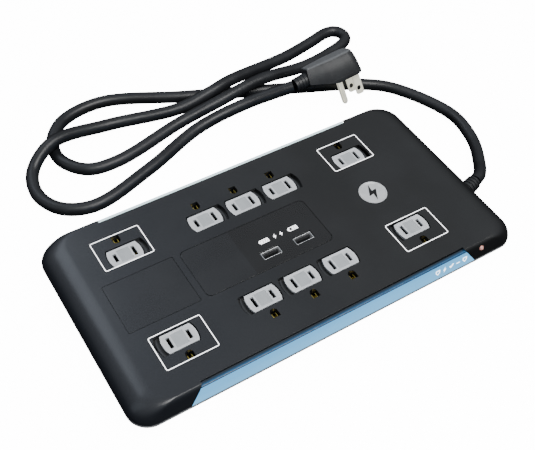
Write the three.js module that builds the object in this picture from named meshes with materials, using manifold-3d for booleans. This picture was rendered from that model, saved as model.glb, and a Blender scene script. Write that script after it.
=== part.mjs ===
// Ten-outlet surge protector power strip with two USB charging ports, a cord and a flat plug.
// Millimetres, +Z up. X runs along the strip, the origin is under the centre of the housing.
import * as THREE from 'three';
import { mergeVertices } from 'three/addons/utils/BufferGeometryUtils.js';
import Module from 'manifold-3d';

const wasm = await Module();
wasm.setup();

// ---------- driving dimensions ----------
const bodyLength = 281;
const bodyWidth = 145;
const topHeight = 34;            // top face above the table, feet included
const rimHeight = 22;            // parting line between cover and base
const footHeight = 2;
const wall = 2.5;
const gap = 0.3;                 // between touching pieces
const cornerRadius = 14;
const endRoll = 17;              // how far the cover rolls in at each end
const sideLean = 2.8;            // the sides are steep and lean in this far
const sideEdge = 1.5;            // before a small round edge at the top
const layoutX = -8.5;            // middle outlet column
const columnX = [-85.65, -28.6, 0, 28.6, 85.65].map((x) => x + layoutX);
const rowY = 35.65;
const slotSpacing = 12.7;
const groundOffset = 12.9;       // ground hole centre, outward from the slots
const shutter = { straight: 19.4, length: 22.2, width: 13.2, thick: 1.8, top: 33.5, travel: 3 };
const recessExtra = 3.5;
const deckTop = 31.2;
const deckBottom = 27.5;
const rail = { middleX: -1.5, bottom: 22.3, top: 32.6, halfBottom: 104.5, halfTop: 96.9, inner: 66.7 };
const notchY = 66.3;
const cordDiameter = 9.4;
const cordSides = 10;
const cordSteps = 200;
const reliefAt = new THREE.Vector3(136.2, -19.3, 12.5);
const reliefYaw = THREE.MathUtils.degToRad(17);
const plugAt = new THREE.Vector3(129.8, 121, 20.4);      // ground pin's root on the prong face
const plugTurn = new THREE.Euler(
  THREE.MathUtils.degToRad(-32), THREE.MathUtils.degToRad(-8.5), THREE.MathUtils.degToRad(-1.6), 'ZYX');
const breakerY = 28;
const breakerZ = 13;

// Centre line of the free cord, from the strain relief to the plug's tail.
const cordRoute = [
  [158.4, -12.4, 12.5], [166.2, -8.8, 11.7], [178.9, 4.7, 7.6], [192.1, 27, 5.2], [196.5, 56.9, 4.9],
  [175.6, 102.6, 4.9], [155.4, 119.8, 4.9], [108.6, 140.8, 4.9], [22.8, 175.7, 4.9], [-37.7, 200.9, 4.9],
  [-71.7, 194.8, 4.9], [-86.8, 177.1, 4.9], [-88.5, 157.5, 4.9], [-75.8, 140.2, 4.9], [-53.2, 136.9, 5.1],
  [4.4, 149.3, 6.8], [35, 149.4, 12.8], [79.2, 154.6, 14.9], [121.4, 158.6, 7.8], [149, 164.4, 5],
  [172.7, 171.2, 4.9], [177.9, 176, 4.9], [178.2, 183.2, 4.9], [173.6, 188.2, 4.9], [166.5, 189.2, 4.9],
  [147, 184.6, 4.9], [118.4, 178.2, 5.6], [57, 165.2, 14.8], [38, 161.2, 14.4], [10.3, 161, 9.4],
  [-44.5, 172.4, 7.6], [-89.6, 167.5, 14.9], [-110.5, 155.2, 7], [-115.8, 133.9, 4.9], [-106.8, 114.6, 4.9],
  [-85.7, 105.8, 4.9], [-36.5, 119, 4.9], [15.9, 138.6, 5.8], [55.3, 138.4, 12.2], [91.6, 127.4, 23.2],
];

// ---------- small tools ----------
const strip = new THREE.Group();

function material(color, roughness, metalness = 0) {
  return new THREE.MeshStandardMaterial({ color, roughness, metalness });
}

function solid(geometry) {
  const bare = geometry.clone();
  bare.deleteAttribute('normal');
  bare.deleteAttribute('uv');
  const merged = mergeVertices(bare, 1e-4);
  const triVerts = new Uint32Array(merged.index.array);
  const vertProperties = new Float32Array(merged.attributes.position.array);
  return new wasm.Manifold(new wasm.Mesh({ numProp: 3, vertProperties, triVerts }));
}

function geometryOf(manifold) {
  const mesh = manifold.getMesh();
  const geometry = new THREE.BufferGeometry();
  geometry.setAttribute('position', new THREE.BufferAttribute(new Float32Array(mesh.vertProperties), 3));
  geometry.setIndex(new THREE.BufferAttribute(new Uint32Array(mesh.triVerts), 1));
  geometry.computeVertexNormals();
  return geometry;
}

function add(name, shape, look, parent = strip) {
  const geometry = shape.isBufferGeometry ? shape : geometryOf(shape);
  const mesh = new THREE.Mesh(geometry, look.clone());
  mesh.name = name;
  parent.add(mesh);
  return mesh;
}

function joined(pieces) {
  return pieces.reduce((whole, piece) => whole.add(piece));
}

function cut(whole, tools) {
  return tools.reduce((rest, tool) => rest.subtract(tool), whole);
}

function box(x, y, z) {
  const geometry = new THREE.BoxGeometry(x[1] - x[0], y[1] - y[0], z[1] - z[0]);
  geometry.translate((x[0] + x[1]) / 2, (y[0] + y[1]) / 2, (z[0] + z[1]) / 2);
  return solid(geometry);
}

function post(x, y, radius, z, sides = 12) {
  const geometry = new THREE.CylinderGeometry(radius, radius, z[1] - z[0], sides);
  geometry.rotateX(Math.PI / 2);
  geometry.translate(x, y, (z[0] + z[1]) / 2);
  return solid(geometry);
}

function slab(shape, z, curveSegments = 5) {
  const options = { depth: z[1] - z[0], bevelEnabled: false, curveSegments };
  const geometry = new THREE.ExtrudeGeometry(shape, options);
  geometry.translate(0, 0, z[0]);
  return solid(geometry);
}

function bar(points, x) {            // a (y, z) section run along X
  const shape = new THREE.Shape(points.map(([y, z]) => new THREE.Vector2(y, z)));
  const geometry = new THREE.ExtrudeGeometry(shape, { depth: x[1] - x[0], bevelEnabled: false });
  geometry.rotateX(Math.PI / 2);
  geometry.rotateZ(Math.PI / 2);
  geometry.translate(x[0], 0, 0);
  return solid(geometry);
}

function roundedRect(halfX, halfY, radius, centre = [0, 0]) {
  const [x, y] = centre;
  const shape = new THREE.Shape();
  shape.moveTo(x + halfX, y - halfY + radius);
  shape.absarc(x + halfX - radius, y + halfY - radius, radius, 0, Math.PI / 2);
  shape.absarc(x - halfX + radius, y + halfY - radius, radius, Math.PI / 2, Math.PI);
  shape.absarc(x - halfX + radius, y - halfY + radius, radius, Math.PI, 1.5 * Math.PI);
  shape.absarc(x + halfX - radius, y - halfY + radius, radius, 1.5 * Math.PI, 2 * Math.PI);
  return shape;
}

// A closed skin through outlines that all have the same number of points, lowest outline first.
function loft(outlines) {
  const count = outlines[0].length;
  const positions = outlines.flat().flatMap((p) => [p.x, p.y, p.z]);
  const index = [];
  for (let level = 0; level < outlines.length - 1; level += 1) {
    for (let i = 0; i < count; i += 1) {
      const a = level * count + i;
      const b = level * count + ((i + 1) % count);
      index.push(a, b, b + count, a, b + count, a + count);
    }
  }
  const last = (outlines.length - 1) * count;
  for (let i = 1; i < count - 1; i += 1) {
    index.push(0, i + 1, i, last, last + i, last + i + 1);
  }
  const geometry = new THREE.BufferGeometry();
  geometry.setAttribute('position', new THREE.Float32BufferAttribute(positions, 3));
  geometry.setIndex(index);
  return solid(geometry);
}

function outline(halfX, halfY, radius, z, cornerSteps = 5) {
  const corners = [[1, 1, 0], [-1, 1, 1], [-1, -1, 2], [1, -1, 3]];
  return corners.flatMap(([sx, sy, quarter]) => Array.from({ length: cornerSteps + 1 }, (_, i) => {
    const angle = (quarter + i / cornerSteps) * Math.PI / 2;
    return new THREE.Vector3(sx * (halfX - radius) + radius * Math.cos(angle),
      sy * (halfY - radius) + radius * Math.sin(angle), z);
  }));
}

// ---------- finishes ----------
const finish = {
  cover: material(0x2b2d2f, 0.38),
  base: material(0x0c0d0e, 0.35),
  rail: material(0x86c2e4, 0.2),
  shutter: material(0xd4d6d8, 0.45),
  panel: material(0x282a2d, 0.34),
  badge: material(0xd8dadb, 0.35, 0.6),
  lens: material(0xe9b8a8, 0.15),
  deck: material(0x101112, 0.6),
  brass: material(0xc9a648, 0.3, 0.9),
  steel: material(0xb9bcc0, 0.3, 0.9),
  board: material(0x1f6b3a, 0.55),
  varistor: material(0x2a5da8, 0.5),
  ferrite: material(0x3b3a38, 0.7),
  can: material(0x33373d, 0.35, 0.4),
  cord: material(0x222426, 0.5),
  plug: material(0x2b2c2d, 0.6),
  blade: material(0xd9d6c6, 0.28, 0.9),
  rubber: material(0x151515, 0.9),
};

// ---------- housing ----------
const halfLength = bodyLength / 2;
const halfWidth = bodyWidth / 2;
const rollAngles = [90, 72, 54, 36, 18, 0].map(THREE.MathUtils.degToRad);
const pillarAt = [[-121, -52], [-121, 52], [114, -56], [114, 56]];
const pillarRadius = 4;

function sideInset(height) {          // how far a side has leaned in at this height
  const share = (height - rimHeight) / (topHeight - rimHeight);
  return sideLean * share + sideEdge * share ** 12;
}

function coverSkin(inset, bottom) {
  const depth = topHeight - rimHeight;
  const skirt = outline(halfLength - inset, halfWidth - inset, cornerRadius - inset, bottom);
  const roll = rollAngles.map((angle) => {
    const drawIn = 1 - Math.sin(angle);
    const height = rimHeight + depth * Math.cos(angle);
    const reach = [halfLength - endRoll * drawIn - inset, halfWidth - sideInset(height) - inset];
    const z = Math.max(height - inset * Math.cos(angle), bottom + 0.5);
    return outline(reach[0], reach[1], cornerRadius - inset - 2 * drawIn, z);
  });
  return loft([skirt, ...roll]);
}

function shutterShape(grow, extra, direction, centre) {
  const halfStraight = shutter.straight / 2 + grow;
  const halfTall = shutter.width / 2 + grow;
  const bulge = (shutter.length - shutter.straight) / 2;
  const right = direction > 0 ? extra : 0;
  const left = direction > 0 ? 0 : extra;
  const [x, y] = centre;
  const shape = new THREE.Shape();
  shape.moveTo(x - halfStraight - left, y - halfTall);
  shape.lineTo(x + halfStraight + right, y - halfTall);
  shape.quadraticCurveTo(x + halfStraight + right + 2 * bulge, y, x + halfStraight + right, y + halfTall);
  shape.lineTo(x - halfStraight - left, y + halfTall);
  shape.quadraticCurveTo(x - halfStraight - left - 2 * bulge, y, x - halfStraight - left, y - halfTall);
  return shape;
}

function groundShape(x, side, grow = 0) {     // round towards the slots, straight on the outer edge
  const halfX = 2.6 + grow;
  const y = side * (rowY + groundOffset);
  const shape = new THREE.Shape();
  const straight = side * (3.1 + grow);
  const arcCentre = y - side * 0.6;
  shape.moveTo(x + halfX, y + straight);
  shape.lineTo(x - halfX, y + straight);
  if (side > 0) {
    shape.absarc(x, arcCentre, halfX, Math.PI, 2 * Math.PI);
  } else {
    shape.absarc(x, arcCentre, halfX, Math.PI, 0, true);
  }
  return shape;
}

const outlets = [1, -1].flatMap((side) => columnX.map((x, column) => ({ x, side, y: side * rowY, column })));
const groundHole = (o, z) => slab(groundShape(o.x, o.side), z, 6);
const rowName = { 1: 'rear', '-1': 'front' };

const panels = {
  left: { x: -94.1, y: 0, halfX: 23.75, halfY: 18.8, radius: 1 },
  centre: { x: -19.4, y: 0, halfX: 46.1, halfY: 19.2, radius: 4 },
};
const panelThick = 0.9;
const badge = { x: 72.6, y: 0.9, radius: 10 };
const usbX = [-14.3, 10];
const usbY = -8.8;
const usbShell = { halfX: 6.6, halfY: 2.85, wall: 0.35 };
const lens = { x: 108.5, y: -70, z: 29, radius: 1.6 };

function panelSlab(panel, grow, z) {
  return slab(roundedRect(panel.halfX + grow, panel.halfY + grow, panel.radius, [panel.x, panel.y]), z);
}

function usbHole(x, grow, z) {
  const halfX = usbShell.halfX + grow;
  const halfY = usbShell.halfY + grow;
  return box([x - halfX, x + halfX], [usbY - halfY, usbY + halfY], z);
}

function railEnds(side, grow, y, z) {          // trapezoid in (x, z), run along Y
  const slope = (rail.halfBottom - rail.halfTop) / (rail.top - rail.bottom);
  const half = (height) => rail.halfTop + slope * (rail.top - height) + grow;
  const shape = new THREE.Shape();
  shape.moveTo(rail.middleX - half(z[0]), z[0]);
  shape.lineTo(rail.middleX + half(z[0]), z[0]);
  shape.lineTo(rail.middleX + half(z[1]), z[1]);
  shape.lineTo(rail.middleX - half(z[1]), z[1]);
  const geometry = new THREE.ExtrudeGeometry(shape, { depth: y[1] - y[0], bevelEnabled: false });
  geometry.rotateX(Math.PI / 2);
  geometry.translate(0, side > 0 ? y[1] : -y[0], 0);
  return solid(geometry);
}

function lensTool(radius, length) {
  const geometry = new THREE.CylinderGeometry(radius, radius, length, 12);
  geometry.rotateX(Math.PI / 4);
  geometry.rotateX(Math.PI / 2);
  return geometry;
}

function makeCover() {
  const coverBottom = rimHeight + gap;
  const shell = coverSkin(0, coverBottom).subtract(coverSkin(wall, coverBottom - 5));
  const sockets = pillarAt.map(([x, y]) => post(x, y, pillarRadius, [rimHeight - 6, topHeight - 1.5]));
  const bores = pillarAt.map(([x, y]) => post(x, y, 1.75, [rimHeight - 8, topHeight - wall - 4]));
  const windows = outlets.map((o) => slab(shutterShape(0.7, recessExtra, o.side, [o.x, o.y]), [20, 40]));
  const grounds = outlets.map((o) => groundHole(o, [20, 40]));
  const inlays = Object.values(panels).map((panel) => panelSlab(panel, gap, [topHeight - 1.2, 40]));
  const ports = usbX.map((x) => usbHole(x, 0.35, [20, 40]));
  const badgePocket = post(badge.x, badge.y, badge.radius, [topHeight - 1.2, 40], 32);
  const notches = [1, -1].map((side) => railEnds(side, gap, [notchY, 90], [10, 50]));
  const lensHole = solid(lensTool(lens.radius + gap, 14).translate(lens.x, lens.y, lens.z));
  const body = cut(shell, [...windows, ...grounds, ...inlays, ...ports, badgePocket, ...notches]);
  return cut(body.add(joined(sockets)), [...bores, lensHole]);
}
add('top_cover', makeCover(), finish.cover);

const keyholeX = [-92, 76];
function keyhole(x) {
  const neck = box([x, x + 9], [-2.2, 2.2], [-1, 8]);
  return post(x, 0, 4.6, [-1, 8]).add(neck).add(post(x + 9, 0, 2.2, [-1, 8]));
}

function alongRelief(geometry) {
  const placed = geometry.clone();
  placed.rotateZ(-Math.PI / 2);
  placed.rotateZ(reliefYaw);
  placed.translate(reliefAt.x, reliefAt.y, reliefAt.z);
  return solid(placed);
}

const footAt = [[-103, -44], [-103, 44], [97, -44], [97, 44]];
function makeBase() {
  const tray = loft([
    outline(132, 59, 11, footHeight),
    outline(134, 61.5, 12, footHeight + 2.5),
    outline(halfLength - 3.2, halfWidth - 4, cornerRadius - 1, rimHeight - 3),
    outline(halfLength, halfWidth, cornerRadius, rimHeight - 1.7),
    outline(halfLength, halfWidth, cornerRadius, rimHeight),
  ]);
  const hollow = loft([
    outline(129, 56, 9, footHeight + wall),
    outline(halfLength - 6.4, 63.2, 11, rimHeight - 3),
    outline(halfLength - 5.5, 65.8, 11.5, rimHeight + 5),
  ]);
  const posts = pillarAt.map(([x, y]) => post(x, y, 4.6, [footHeight + 1, rimHeight - 6 - gap]));
  const screwHoles = pillarAt.map(([x, y]) => post(x, y, 1.9, [-1, 30])
    .add(post(x, y, 3.6, [-1, footHeight + 2.2])));
  const pockets = footAt.map(([x, y]) => post(x, y, 6.5, [-1, footHeight + 0.8], 16));
  const reliefHole = alongRelief(new THREE.CylinderGeometry(6.4, 6.4, 24, 16));
  const buttonHole = box([125, 150], [breakerY - 4.8, breakerY + 4.8], [breakerZ - 4.8, breakerZ + 4.8]);
  const shell = tray.subtract(hollow).add(joined(posts));
  return cut(shell, [...screwHoles, ...pockets, ...keyholeX.map(keyhole), reliefHole, buttonHole]);
}
add('base_housing', makeBase(), finish.base);

const railHeights = [rail.bottom + 0.6, 25.5, 28.5, 31, rail.top - 0.5];
const railSection = [
  [rail.inner, rail.bottom], [halfWidth - 0.5, rail.bottom],
  ...railHeights.map((height) => [halfWidth - sideInset(height), height]),
  [halfWidth - sideInset(rail.top) - 0.5, rail.top], [rail.inner, rail.top],
];
for (const side of [1, -1]) {
  const section = railSection.map(([y, z]) => [side * y, z]);
  const blank = bar(side > 0 ? section : section.reverse(), [-120, 120]);
  const ends = railEnds(side, 0, [60, 80], [20, 32]);
  add(`side_rail_${rowName[side]}`, blank.intersect(ends), finish.rail);
}

for (const [x, y] of footAt) {
  const place = `${y > 0 ? 'rear' : 'front'}_${x > 0 ? 'right' : 'left'}`;
  add(`foot_${place}`, post(x, y, 6, [0, footHeight + 0.5], 16), finish.rubber);
}

pillarAt.forEach(([x, y], i) => {
  const head = post(x, y, 3.2, [footHeight + 0.3, footHeight + 1.9]);
  const shank = post(x, y, 1.45, [footHeight + 1.5, rimHeight + 3], 8);
  add(`cover_screw_${i + 1}`, head.add(shank), finish.steel);
});

// ---------- outlets ----------
for (const side of [1, -1]) {
  const row = outlets.filter((o) => o.side === side);
  const y = side > 0 ? [27.6, 56] : [-56, -27.6];
  const deck = box([columnX[0] - 14, columnX[4] + 14], y, [deckBottom, deckTop]);
  const cuts = row.flatMap((o) => [
    box([o.x - side * 6.35 - 1.3, o.x - side * 6.35 + 1.3], [o.y - 3.4, o.y + 3.4], [20, 40]),
    box([o.x + side * 6.35 - 1.3, o.x + side * 6.35 + 1.3], [o.y - 4, o.y + 4], [20, 40]),
    groundHole(o, [20, 40]),
  ]);
  add(`outlet_deck_${rowName[side]}`, cut(deck, cuts), finish.deck);
}

function makeShutter(o) {
  const plate = slab(shutterShape(0, 0, 1, [o.x, o.y]), [shutter.top - shutter.thick, shutter.top]);
  const half = slotSpacing / 2;
  const cuts = [
    box([o.x - o.side * half - 1.1, o.x - o.side * half + 1.1], [o.y - 3.25, o.y + 3.25], [20, 40]),
    box([o.x + o.side * half - 1.1, o.x + o.side * half + 1.1], [o.y - 3.85, o.y + 3.85], [20, 40]),
    box([o.x - 4.3, o.x + 4.3], [o.y - 5.8, o.y + 5.8], [shutter.top - 0.4, 40]),
  ];
  return cut(plate, cuts);
}
for (const o of outlets) {
  add(`shutter_${rowName[o.side]}_${o.column + 1}`, makeShutter(o), finish.shutter);
}

// One stamped strip for each pole, with a spring clip under every slot.
function busBar(side, stripY, clipY, offsetX, clipHalf, z) {
  const row = outlets.filter((o) => o.side === side);
  const run = [row[0].x + offsetX - clipHalf[0], row[4].x + offsetX + clipHalf[0]];
  const stripBand = box(run, [stripY - 0.5, stripY + 0.5], z);
  const clips = row.map((o) => {
    const x = o.x + offsetX;
    const across = [x - clipHalf[0], x + clipHalf[0]];
    const outer = box(across, [clipY - clipHalf[1], clipY + clipHalf[1]], [z[0], z[1] + 5]);
    const slot = box([across[0] + 0.8, across[1] - 0.8], [clipY - 20, clipY + 20], [z[0] + 1, z[1] + 9]);
    const low = Math.min(stripY, clipY);
    const high = Math.max(stripY, clipY);
    return outer.subtract(slot).add(box(across, [low, high], [z[0], z[0] + 0.9]));
  });
  return joined([stripBand, ...clips]);
}
for (const side of [1, -1]) {
  const y = side * rowY;
  const name = rowName[side];
  add(`hot_bus_${name}`, busBar(side, y - side * 6.2, y, -side * 6.35, [2, 3.2], [20, 22]), finish.brass);
  add(`neutral_bus_${name}`, busBar(side, y + side * 6.2, y, side * 6.35, [2, 3.6], [20, 22]), finish.brass);
  const groundY = side * (rowY + groundOffset);
  const groundBus = busBar(side, groundY + side * 5.5, groundY, 0, [3.6, 3.2], [17.5, 19.5]);
  add(`ground_bus_${name}`, groundBus, finish.brass);
}

// ---------- inlays, badge and indicator ----------
const inlayZ = [topHeight - panelThick, topHeight];
add('left_panel', panelSlab(panels.left, 0, inlayZ), finish.panel);
const centrePanel = panelSlab(panels.centre, 0, inlayZ);
add('centre_panel', cut(centrePanel, usbX.map((x) => usbHole(x, 0.35, [20, 40]))), finish.panel);
add('badge', post(badge.x, badge.y, badge.radius - gap, inlayZ, 32), finish.badge);

const lensPiece = add('indicator_lens', solid(lensTool(lens.radius, 5)), finish.lens);
lensPiece.position.set(lens.x, lens.y + 1.2, lens.z - 1.2);
const lampBody = post(0, 0, 1.5, [0, 5]).add(box([-2.5, 2.5], [-2.5, 2.5], [-1.2, 0.2]));
const lamp = add('indicator_lamp', lampBody, finish.lens);
lamp.position.set(lens.x - 5, lens.y + 12.5, lens.z - 9);

// ---------- USB charger ----------
usbX.forEach((x, i) => {
  const outside = usbHole(x, 0, [21, 33.4]);
  const inside = usbHole(x, -usbShell.wall, [22, 40]);
  add(`usb_shell_${i + 1}`, outside.subtract(inside), finish.steel);
  const tongue = box([x - 5.6, x + 5.6], [usbY + 0.2, usbY + 2], [22.4, 32.2]);
  add(`usb_tongue_${i + 1}`, tongue, finish.panel);
});
add('usb_board', box([-32, 27], [-18, 18], [19.1, 20.7]), finish.board);
add('usb_transformer', box([-27, -9], [1, 16], [21, 31]), finish.ferrite);
add('usb_capacitor', post(2, 9, 4.5, [21, 31], 16), finish.can);

// ---------- surge protection ----------
add('surge_board', box([-122, -58], [-20, 20], [14, 15.6]), finish.board);
const varistorX = [-112, -98, -84];
varistorX.forEach((x, i) => {
  const disc = new THREE.CylinderGeometry(7, 7, 4.4, 20);
  disc.translate(x, -8, 23);
  add(`varistor_${i + 1}`, solid(disc), finish.varistor);
});
add('thermal_fuse', box([-76, -64], [-14, -8], [15.9, 21]), finish.shutter);
add('filter_capacitor', box([-114, -88], [6, 16], [15.9, 29]), finish.rail);

// ---------- circuit breaker ----------
const breakerBody = box([96, 128.4], [breakerY - 8, breakerY + 8], [4.9, 26]);
const plunger = box([118, 130], [breakerY - 3.4, breakerY + 3.4], [breakerZ - 3.4, breakerZ + 3.4]);
add('breaker_body', breakerBody.subtract(plunger), finish.base);
add('breaker_button', joined([
  box([120.5, 129], [breakerY - 3, breakerY + 3], [breakerZ - 3, breakerZ + 3]),
  box([128.9, 137.5], [breakerY - 4.3, breakerY + 4.3], [breakerZ - 4.3, breakerZ + 4.3]),
]), finish.can);

// ---------- wiring inside the housing ----------
function tube(points, radius, sides, steps) {
  const path = new THREE.CatmullRomCurve3(points.map((p) => new THREE.Vector3(...p)), false, 'centripetal');
  const ring = new THREE.Shape(Array.from({ length: sides }, (_, i) => {
    const angle = (i + 0.5) * 2 * Math.PI / sides;
    return new THREE.Vector2(radius * Math.cos(angle), radius * Math.sin(angle));
  }));
  return solid(new THREE.ExtrudeGeometry(ring, { steps, extrudePath: path }));
}
const wires = {
  hot: [[118, -20, 9], [110, -12, 8], [98, 6, 8], [93.5, 20, 10], [93.5, 28, 14]],
  neutral: [[118, -23.5, 9], [104, -22, 8], [92, -14, 9], [80, -12, 12]],
  ground: [[118, -27, 9], [106, -31, 8], [94, -40, 9], [88, -47, 12]],
};
const wireLook = { hot: finish.rubber, neutral: finish.shutter, ground: material(0x2f8f4a, 0.5) };
for (const [name, points] of Object.entries(wires)) {
  add(`${name}_wire`, tube(points, 1.6, 8, 12), wireLook[name]);
}

// ---------- cord and plug ----------
const reliefProfile = [[0, -12], [7, -12], [7, -10], [5.9, -9.8], [5.9, 3], [6.8, 3.2], [6.8, 5.2],
  [6.4, 5.8], [5.2, 22], [0, 22]];
const reliefRings = reliefProfile.map(([radius, along]) => new THREE.Vector2(radius, along));
add('strain_relief', alongRelief(new THREE.LatheGeometry(reliefRings, 16)), finish.cord);
add('cord', tube(cordRoute, cordDiameter / 2, cordSides, cordSteps), finish.cord);

const plug = new THREE.Group();
plug.position.copy(plugAt);
plug.rotation.copy(plugTurn);
strip.add(plug);

const plugLong = { cordEnd: -27, farEnd: 18.3 };
function plugOutline(halfFar, halfCord, inset, z) {
  const far = plugLong.farEnd - inset;
  const near = plugLong.cordEnd + inset * 0.4;
  const round = Math.min(7, halfFar - 0.5);
  const corner = Array.from({ length: 6 }, (_, i) => {
    const angle = i / 5 * Math.PI / 2;
    return [far - round + round * Math.cos(angle), halfFar - round + round * Math.sin(angle)];
  });
  const upper = [...corner, [-6, halfFar], [-19, halfCord + 1.6], [near, halfCord]];
  const lower = upper.map(([x, y]) => [x, -y]).reverse();
  return [...upper, ...lower].map(([x, y]) => new THREE.Vector3(x, y, z));
}
const bladeAt = { x: 11.9, y: slotSpacing / 2 };
const bladeRoot = 4.5;
const bladeThick = 1.5;
function plugBody() {
  const bodySkin = loft([
    plugOutline(12, 7.8, 0.4, 0), plugOutline(12.6, 8, 0, 1.2), plugOutline(11.6, 7.6, 0.6, 10),
    plugOutline(9, 6.6, 1.4, 16.5), plugOutline(6.4, 5.4, 3.2, 19.2),
  ]);
  const tail = new THREE.CylinderGeometry(5.9, 5.2, 12, 16);
  tail.rotateZ(-Math.PI / 2);
  tail.translate(plugLong.cordEnd - 3, 0, 10);
  const underside = box([-40, 0], [-20, 20], [-14, 0]).rotate([0, 18, 0]).translate([-5, 0, 0]);
  const roots = [1, -1].map((s) => box([bladeAt.x - 3.5, bladeAt.x + 3.5],
    [s * bladeAt.y - 1.1, s * bladeAt.y + 1.1], [-5, bladeRoot + gap]));
  const tapered = cut(bodySkin, [underside]);
  return cut(tapered.add(solid(tail)), [...roots, post(0, 0, 2.75, [-5, bladeRoot + gap])]);
}
add('plug_body', plugBody(), finish.plug, plug);

function blade(side) {
  const outlineShape = new THREE.Shape();
  outlineShape.moveTo(bladeAt.x - 3.15, bladeRoot);
  outlineShape.lineTo(bladeAt.x - 3.15, -15.4);
  outlineShape.lineTo(bladeAt.x - 1.9, -17);
  outlineShape.lineTo(bladeAt.x + 1.9, -17);
  outlineShape.lineTo(bladeAt.x + 3.15, -15.4);
  outlineShape.lineTo(bladeAt.x + 3.15, bladeRoot);
  const hole = new THREE.Path();
  hole.absarc(bladeAt.x, -12.1, 1.95, 0, 2 * Math.PI, true);
  outlineShape.holes.push(hole);
  const options = { depth: bladeThick, bevelEnabled: false, curveSegments: 10 };
  const geometry = new THREE.ExtrudeGeometry(outlineShape, options);
  geometry.rotateX(Math.PI / 2);
  geometry.translate(0, side * bladeAt.y + bladeThick / 2, 0);
  return solid(geometry);
}
add('hot_blade', blade(1), finish.blade, plug);
add('neutral_blade', blade(-1), finish.blade, plug);
const pinProfile = [[0, -21.4], [1.2, -21.2], [2.1, -20], [2.4, -18.4], [2.4, bladeRoot], [0, bladeRoot]];
const pin = new THREE.LatheGeometry(pinProfile.map(([radius, z]) => new THREE.Vector2(radius, z)), 14);
pin.rotateX(Math.PI / 2);
add('ground_pin', solid(pin), finish.blade, plug);

export default strip;
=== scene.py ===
import math
import bpy
from mathutils import Euler, Matrix, Vector


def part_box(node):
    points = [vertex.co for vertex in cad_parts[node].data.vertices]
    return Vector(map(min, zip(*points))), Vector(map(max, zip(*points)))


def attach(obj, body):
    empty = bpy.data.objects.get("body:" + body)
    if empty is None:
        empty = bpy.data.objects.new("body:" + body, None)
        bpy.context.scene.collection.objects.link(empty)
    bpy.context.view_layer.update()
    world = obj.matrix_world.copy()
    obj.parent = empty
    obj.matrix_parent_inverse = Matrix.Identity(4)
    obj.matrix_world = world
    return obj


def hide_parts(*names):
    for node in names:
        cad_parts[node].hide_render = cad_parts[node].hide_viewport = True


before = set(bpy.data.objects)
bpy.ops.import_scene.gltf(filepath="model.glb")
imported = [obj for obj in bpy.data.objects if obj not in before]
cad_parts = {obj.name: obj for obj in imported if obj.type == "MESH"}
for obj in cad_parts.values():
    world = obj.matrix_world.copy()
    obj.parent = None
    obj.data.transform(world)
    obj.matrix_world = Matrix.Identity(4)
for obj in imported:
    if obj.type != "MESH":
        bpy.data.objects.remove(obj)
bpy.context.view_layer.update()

# A ten-outlet surge protector power strip. Sizes are in millimetres and reach Blender through mm.
mm = 0.001


# small modelling helpers
def box(node):
    low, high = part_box(node)
    return low / mm, high / mm


def only(piece):
    if bpy.context.object and bpy.context.object.mode != "OBJECT":
        bpy.ops.object.mode_set(mode="OBJECT")
    bpy.ops.object.select_all(action="DESELECT")
    piece.select_set(True)
    bpy.context.view_layer.objects.active = piece


def settle(piece):        # puts the place into the mesh
    only(piece)
    bpy.ops.object.transform_apply(location=True, rotation=True, scale=True)
    return piece


def named(name):
    piece = bpy.context.object
    piece.name = name
    return settle(piece)


def block(name, low, high):
    bpy.ops.object.select_all(action="DESELECT")
    middle = [(a + b) / 2 * mm for a, b in zip(low, high)]
    sides = [(b - a) * mm for a, b in zip(low, high)]
    bpy.ops.mesh.primitive_cube_add(size=1, location=middle, scale=sides)
    return named(name)


def rod(name, at, radius, length, sides=48):        # stands on the point it is given
    bpy.ops.object.select_all(action="DESELECT")
    middle = (at[0] * mm, at[1] * mm, (at[2] + length / 2) * mm)
    bpy.ops.mesh.primitive_cylinder_add(
        vertices=sides, radius=radius * mm, depth=length * mm, location=middle)
    return named(name)


def done():
    bpy.ops.object.mode_set(mode="OBJECT")


def pick(piece, kind, test):        # faces by centre and normal, edges by their two ends
    only(piece)
    bpy.ops.object.mode_set(mode="EDIT")
    bpy.ops.mesh.select_mode(type=kind)
    bpy.ops.mesh.select_all(action="DESELECT")
    done()
    points = piece.data.vertices
    if kind == "FACE":
        for face in piece.data.polygons:
            face.select = test(face.center / mm, face.normal)
    else:
        for edge in piece.data.edges:
            edge.select = test(*[points[i].co / mm for i in edge.vertices])
    bpy.ops.object.mode_set(mode="EDIT")


def upright(a, b):
    return abs(a.z - b.z) > 0.05 and (a - b).xy.length < 0.01


def facingUp(centre, normal):
    return normal.z > 0.9


def facingDown(centre, normal):
    return normal.z < -0.9


def climb(rows, centre=(0, 0)):        # extrudes the picked face through rows of height, half x and half y
    for before, after in zip(rows, rows[1:]):
        rise = (after[0] - before[0]) * mm
        bpy.ops.mesh.extrude_region_move(TRANSFORM_OT_translate={"value": (0, 0, rise)})
        pivot = (centre[0] * mm, centre[1] * mm, after[0] * mm)
        share = (after[1] / before[1], after[2] / before[2], 1)
        bpy.ops.transform.resize(value=share, center_override=pivot)


def modify(piece, kind, **settings):
    only(piece)
    modifier = piece.modifiers.new(kind.lower(), kind)
    for key, value in settings.items():
        setattr(modifier, key, value)
    bpy.ops.object.modifier_apply(modifier=modifier.name)
    return piece


def carve(piece, tool, operation="DIFFERENCE"):
    modify(piece, "BOOLEAN", object=tool, operation=operation, solver="MANIFOLD")
    bpy.data.objects.remove(tool)
    return piece


def soften(piece, width, segments=2, angle=40):
    modify(piece, "TRIANGULATE", min_vertices=5)        # a face with holes bevels badly
    modify(piece, "BEVEL", width=width * mm, segments=segments, limit_method="ANGLE",
           angle_limit=math.radians(angle), use_clamp_overlap=True)
    return piece


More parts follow.
